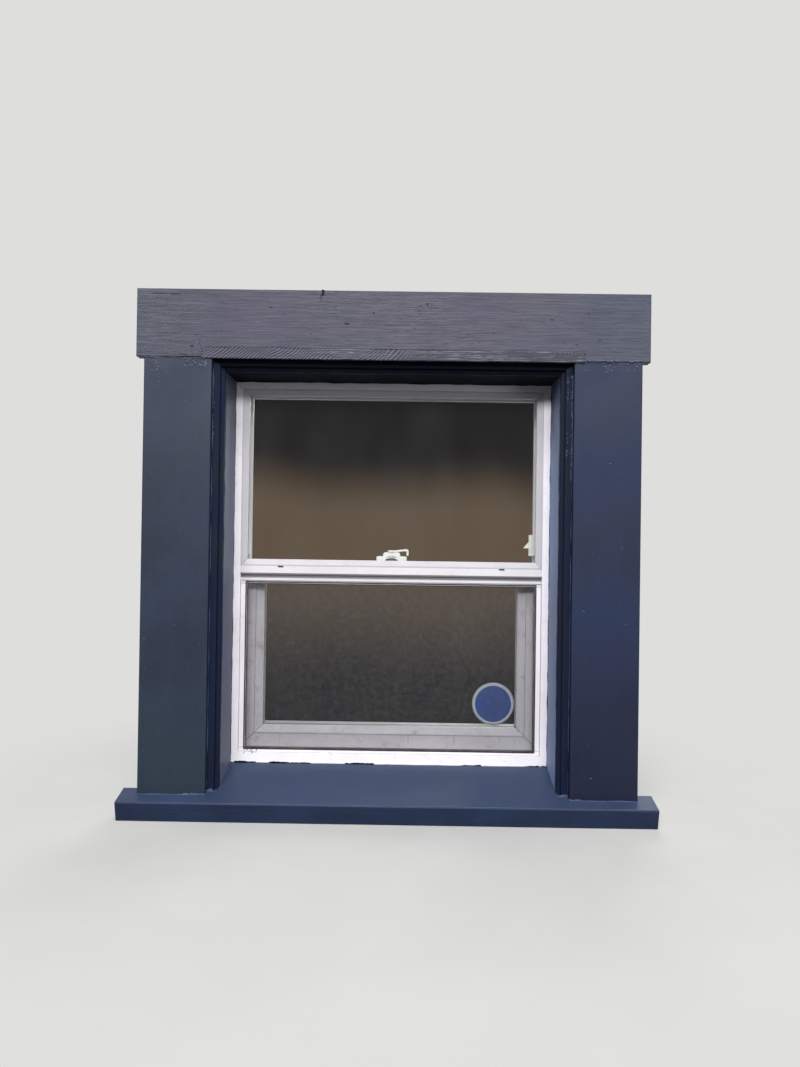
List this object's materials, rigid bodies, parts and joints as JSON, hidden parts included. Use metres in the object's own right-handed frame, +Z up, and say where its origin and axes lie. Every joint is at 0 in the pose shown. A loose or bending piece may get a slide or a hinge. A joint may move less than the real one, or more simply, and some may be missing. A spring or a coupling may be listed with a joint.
{
  "type": "single-hung window with wood surround",
  "caption": "Single-hung double-glazed window in a painted wood surround, with a sliding lower sash, a turning sash lock and a lift-out half screen.",
  "frame": {"origin": "centre of the wall opening, in the plane of the wall's outer face, which the casings' backs lie against", "axes": "+X to the right seen from outside, +Y into the building, +Z up"},
  "size_m": [1.0796, 0.2734, 1.0718],
  "materials": {
    "casing_paint": "weathered satin navy paint over wood grain",
    "strip_paint": "rough-sawn wood under navy paint",
    "trim_paint": "satin navy paint",
    "sill_paint": "chalked and chipped blue paint",
    "inside_paint": "white indoor paint",
    "frame_vinyl": "white extruded vinyl, lightly grimed",
    "bead_vinyl": "white extruded vinyl",
    "sash_vinyl": "white extruded vinyl, streaked with dirt",
    "upper_glass": "clear glass",
    "sash_glass": "clear glass",
    "spacer_metal": "plain mill finish",
    "channel_metal": "plain mill finish",
    "spring_steel": "oiled spring steel",
    "screw_steel": "zinc plated",
    "clip_plastic": "moulded white plastic",
    "cord_fibre": "braided cord",
    "seal_pile": "pile weather seal",
    "lock_paint": "white painted die casting",
    "cam_metal": "plated cam",
    "screen_frame": "white painted roll-formed bar",
    "corner_plastic": "moulded plastic",
    "spline_rubber": "black cord",
    "mesh_fibre": "charcoal woven mesh"
  },
  "bodies": {
    "frame": {"head_casing": "casing_paint", "head_strip": "strip_paint", "left_casing": "casing_paint", "right_casing": "casing_paint", "sill": "sill_paint", "left_jamb": "trim_paint", "right_jamb": "trim_paint", "head_jamb": "trim_paint", "left_stop_moulding": "trim_paint", "right_stop_moulding": "trim_paint", "head_stop_moulding": "trim_paint", "left_inside_stop": "inside_paint", "right_inside_stop": "inside_paint", "head_inside_stop": "inside_paint", "frame_left": "frame_vinyl", "frame_right": "frame_vinyl", "frame_head": "frame_vinyl", "frame_sill": "frame_vinyl", "meeting_rail": "frame_vinyl", "upper_bead_left": "bead_vinyl", "upper_bead_right": "bead_vinyl", "upper_bead_head": "bead_vinyl", "upper_bead_foot": "bead_vinyl", "upper_outer_pane": "upper_glass", "upper_spacer": "spacer_metal", "upper_inner_pane": "upper_glass", "keeper": "lock_paint", "keeper_screws": "screw_steel", "frame_screws": "screw_steel", "left_balance_cord": "cord_fibre", "right_balance_cord": "cord_fibre", "balance_anchors": "clip_plastic"},
    "sash": {"sash_top_rail": "sash_vinyl", "sash_bottom_rail": "sash_vinyl", "left_stile": "sash_vinyl", "right_stile": "sash_vinyl", "sash_bead_left": "bead_vinyl", "sash_bead_right": "bead_vinyl", "sash_bead_head": "bead_vinyl", "sash_bead_foot": "bead_vinyl", "sash_outer_pane": "sash_glass", "sash_spacer": "spacer_metal", "sash_inner_pane": "sash_glass", "left_balance_channel": "channel_metal", "right_balance_channel": "channel_metal", "balance_springs": "spring_steel", "balance_guides": "clip_plastic", "sash_bottom_seal": "seal_pile", "right_takeout_clip": "clip_plastic", "lock_housing": "lock_paint", "lock_screws": "screw_steel"},
    "lock": {"lock_lever": "lock_paint", "lock_cam": "cam_metal"},
    "screen": {"screen_left_bar": "screen_frame", "screen_right_bar": "screen_frame", "screen_top_bar": "screen_frame", "screen_bottom_bar": "screen_frame", "screen_corners": "corner_plastic", "screen_spline": "spline_rubber", "screen_mesh": "mesh_fibre"}
  },
  "joints": [
    {"name": "sash_slide", "type": "slide", "parent": "frame", "child": "sash", "axis": [0, 0, 1], "range_m": [0, 0.3]},
    {"name": "lock_turn", "type": "hinge", "parent": "sash", "child": "lock", "pos_m": [0, 0.156, 0.045], "axis": [0, 0, 1], "range_deg": [0, 180]},
    {"name": "screen_lift", "type": "slide", "parent": "frame", "child": "screen", "axis": [0, 0, 1], "range_m": [0, 0.006]}
  ]
}
